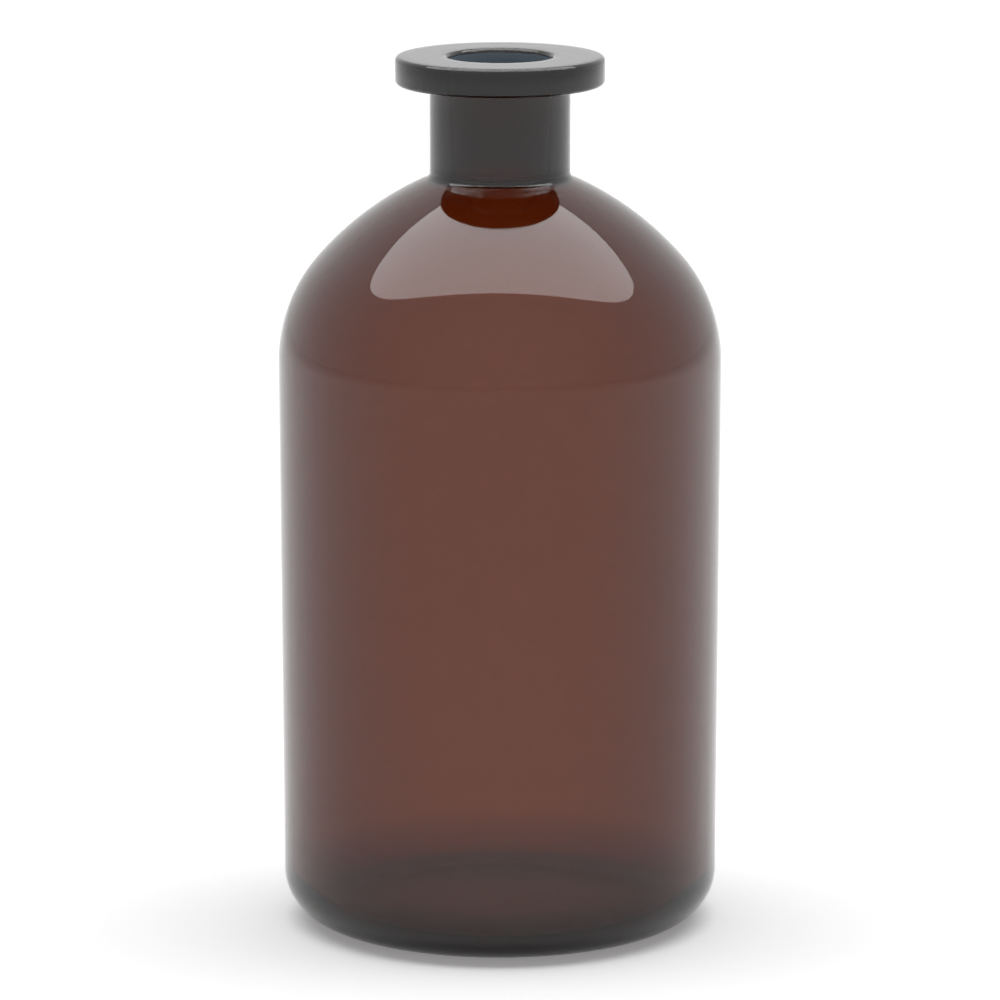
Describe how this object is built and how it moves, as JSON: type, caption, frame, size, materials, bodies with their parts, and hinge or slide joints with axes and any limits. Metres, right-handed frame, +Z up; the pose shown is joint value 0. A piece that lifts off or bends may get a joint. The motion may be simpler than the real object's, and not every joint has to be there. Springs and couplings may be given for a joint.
{
  "type": "burette reservoir bottle",
  "caption": "Amber glass reservoir bottle for an automatic burette: straight wall, rounded shoulder, short neck and a flat flange with a ground taper socket.",
  "frame": {"origin": "centre of the foot ring, on the surface the bottle stands on", "axes": "+Z up along the bottle's axis; the glass is round, so X and Y are free"},
  "size_m": [0.124, 0.124, 0.2458],
  "materials": {
    "amber_glass": "clear brown glass with a fire-polished surface, ground to a fine matt in the socket"
  },
  "bodies": {
    "root": {"reservoir_bottle": "amber_glass"}
  },
  "joints": []
}
